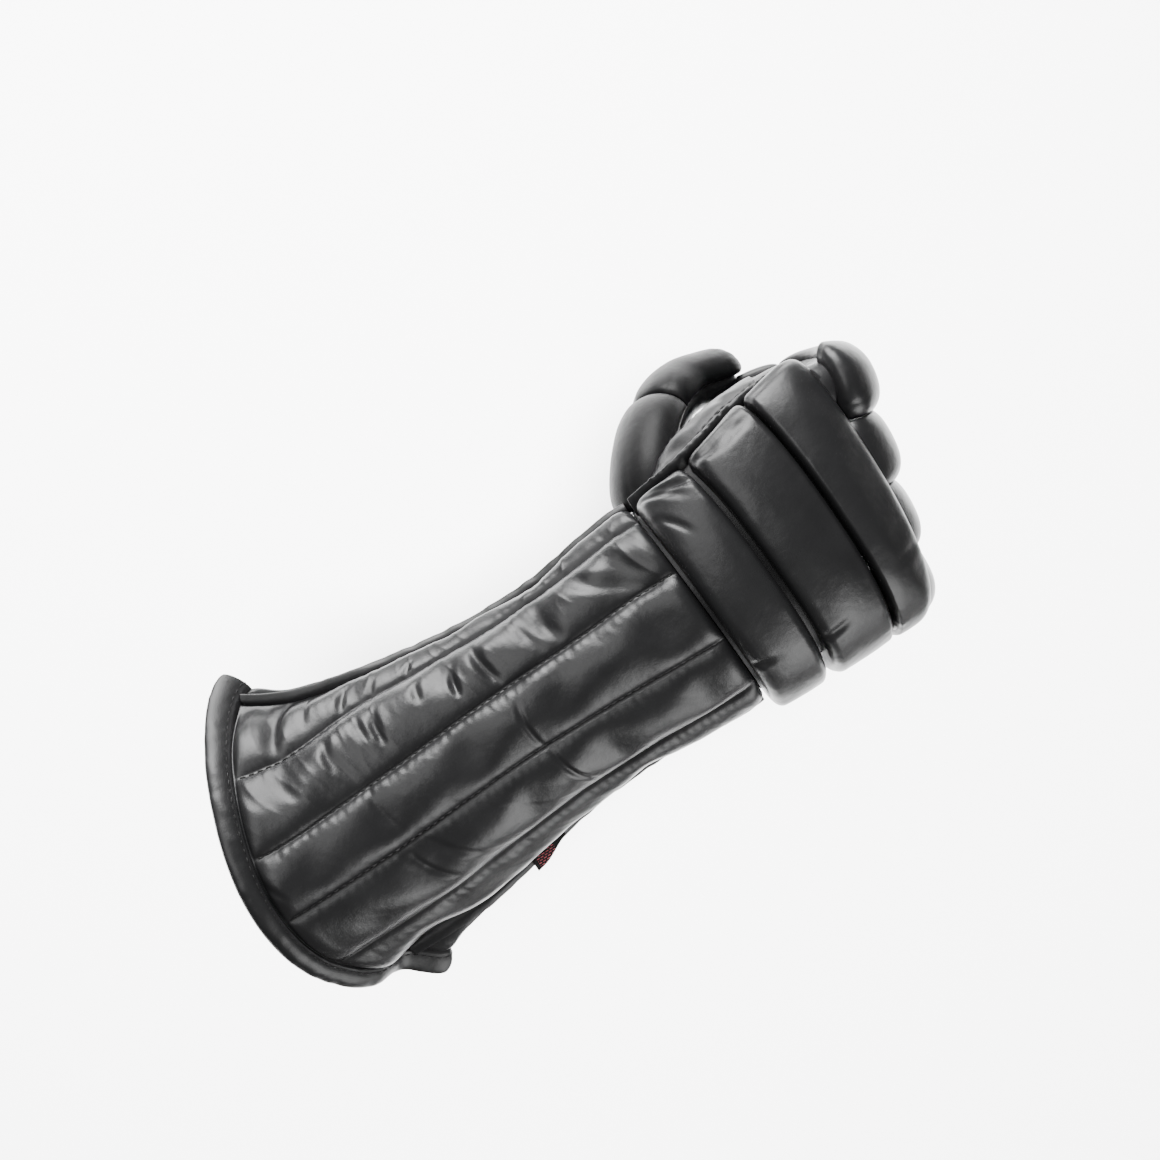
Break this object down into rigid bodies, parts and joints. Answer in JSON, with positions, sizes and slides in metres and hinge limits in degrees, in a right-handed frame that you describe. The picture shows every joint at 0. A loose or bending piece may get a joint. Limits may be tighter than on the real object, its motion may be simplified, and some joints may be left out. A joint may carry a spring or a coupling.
{
  "type": "padded fencing glove",
  "caption": "Right-hand black leather fencing glove, closed to grip, with pillow pads on the back, fingers and thumb and a long quilted gauntlet flaring to a banded hem",
  "frame": {"origin": "the middle of the wrist's hollow, where the gauntlet and the hand meet, and where a wrist holds the glove up", "axes": "+X from the gauntlet's mouth to the knuckles, +Y to the thumb's side, +Z out of the back of the hand"},
  "size_m": [0.3591, 0.1828, 0.1278],
  "materials": {
    "black_leather": "satin",
    "band_leather": "satin",
    "palm_leather": "matte",
    "woven_tag": "matte"
  },
  "bodies": {
    "root": {"gauntlet_back": "black_leather", "gauntlet_palm": "black_leather", "hem_band": "band_leather", "seam_strip_thumb_side": "band_leather", "seam_strip_heel_side": "band_leather", "side_tag": "woven_tag", "hand_shell": "palm_leather", "thumb_stall": "palm_leather", "pad_piping": "band_leather", "thumb_gusset": "palm_leather", "back_pad_wrist": "black_leather", "back_pad_middle": "black_leather", "back_pad_knuckle": "black_leather", "thumb_pad_base": "black_leather", "thumb_pad_tip": "black_leather", "index_stall": "palm_leather", "index_pad_knuckle": "black_leather", "index_pad_middle": "black_leather", "index_pad_tip": "black_leather", "middle_stall": "palm_leather", "middle_pad_knuckle": "black_leather", "middle_pad_middle": "black_leather", "middle_pad_tip": "black_leather", "ring_stall": "palm_leather", "ring_pad_knuckle": "black_leather", "ring_pad_middle": "black_leather", "ring_pad_tip": "black_leather", "little_stall": "palm_leather", "little_pad_knuckle": "black_leather", "little_pad_middle": "black_leather", "little_pad_tip": "black_leather"}
  },
  "joints": []
}
